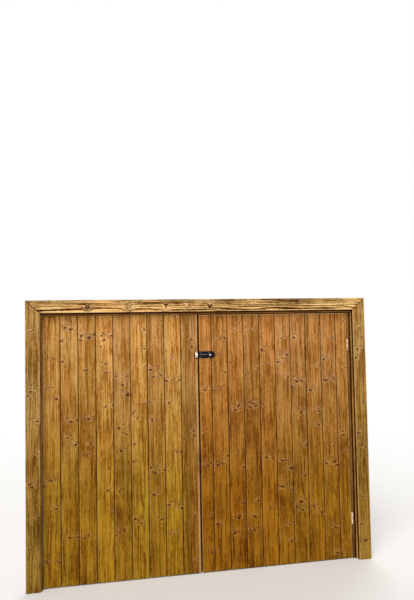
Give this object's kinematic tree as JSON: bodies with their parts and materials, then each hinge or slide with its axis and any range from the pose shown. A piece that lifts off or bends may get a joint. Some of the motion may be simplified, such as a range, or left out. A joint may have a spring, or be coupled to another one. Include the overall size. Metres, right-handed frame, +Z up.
{
  "type": "barn door",
  "caption": "Wide timber barn door in a mitred casing: a fixed boarded panel beside a side-hung boarded leaf with butt hinges and a barrel bolt.",
  "frame": {"origin": "bottom centre of the bounding box, at the foot of the casing", "axes": "+X across the door to the right as seen from outside, +Y into the wall, +Z up"},
  "size_m": [2.497, 0.148, 1.962],
  "materials": {
    "casing": "stained pine, satin",
    "lining": "stained pine, satin",
    "strip": "stained pine, satin",
    "panel_boards": "stained pine, satin",
    "facing": "stained pine, satin",
    "leaf_boards": "stained pine, satin",
    "framing": "planed pine, matt",
    "bolt_black": "black paint, satin",
    "bolt_steel": "zinc plated, satin",
    "keep_zinc": "zinc plated, satin",
    "hinge_steel": "zinc plated, satin",
    "screws": "zinc plated",
    "nails": "bright steel"
  },
  "bodies": {
    "frame": {"bolt_keep": "keep_zinc", "casing_head": "casing", "casing_left": "casing", "casing_nails": "nails", "casing_right": "casing", "centre_post": "framing", "facing_nails": "nails", "hanging_strip": "strip", "head_stop": "framing", "hinge_bottom_frame_flap": "hinge_steel", "hinge_bottom_pin": "hinge_steel", "hinge_frame_screws": "screws", "hinge_top_frame_flap": "hinge_steel", "hinge_top_pin": "hinge_steel", "keep_screws": "screws", "lining_head": "lining", "lining_left": "lining", "lining_right": "lining", "panel_board_1": "panel_boards", "panel_board_2": "panel_boards", "panel_board_3": "panel_boards", "panel_board_4": "panel_boards", "panel_board_5": "panel_boards", "panel_board_6": "panel_boards", "panel_board_7": "panel_boards", "panel_board_8": "panel_boards", "panel_bottom_rail": "framing", "panel_edge_strip": "strip", "panel_middle_rail": "framing", "panel_ripped_board": "panel_boards", "panel_screws": "screws", "panel_top_rail": "framing", "post_facing": "facing", "post_stop": "framing"},
    "leaf": {"bolt_barrel": "bolt_black", "bolt_plate": "bolt_black", "bolt_plate_screws": "screws", "hinge_bottom_leaf_flap": "hinge_steel", "hinge_leaf_screws": "screws", "hinge_top_leaf_flap": "hinge_steel", "leaf_board_1": "leaf_boards", "leaf_board_10": "leaf_boards", "leaf_board_2": "leaf_boards", "leaf_board_3": "leaf_boards", "leaf_board_4": "leaf_boards", "leaf_board_5": "leaf_boards", "leaf_board_6": "leaf_boards", "leaf_board_7": "leaf_boards", "leaf_board_8": "leaf_boards", "leaf_board_9": "leaf_boards", "leaf_bottom_rail": "framing", "leaf_hinge_stile": "framing", "leaf_lock_stile": "framing", "leaf_lower_brace": "framing", "leaf_middle_rail": "framing", "leaf_screws": "screws", "leaf_top_rail": "framing", "leaf_upper_brace": "framing"},
    "bolt": {"bolt_rod": "bolt_steel"}
  },
  "joints": [
    {"name": "leaf", "type": "hinge", "parent": "frame", "child": "leaf", "pos_m": [1.1185, -0.0355, 0.928], "axis": [0, 0, 1], "range_deg": [0, 125]},
    {"name": "bolt", "type": "slide", "parent": "leaf", "child": "bolt", "axis": [-1, 0, 0], "range_m": [0, 0.028]}
  ]
}
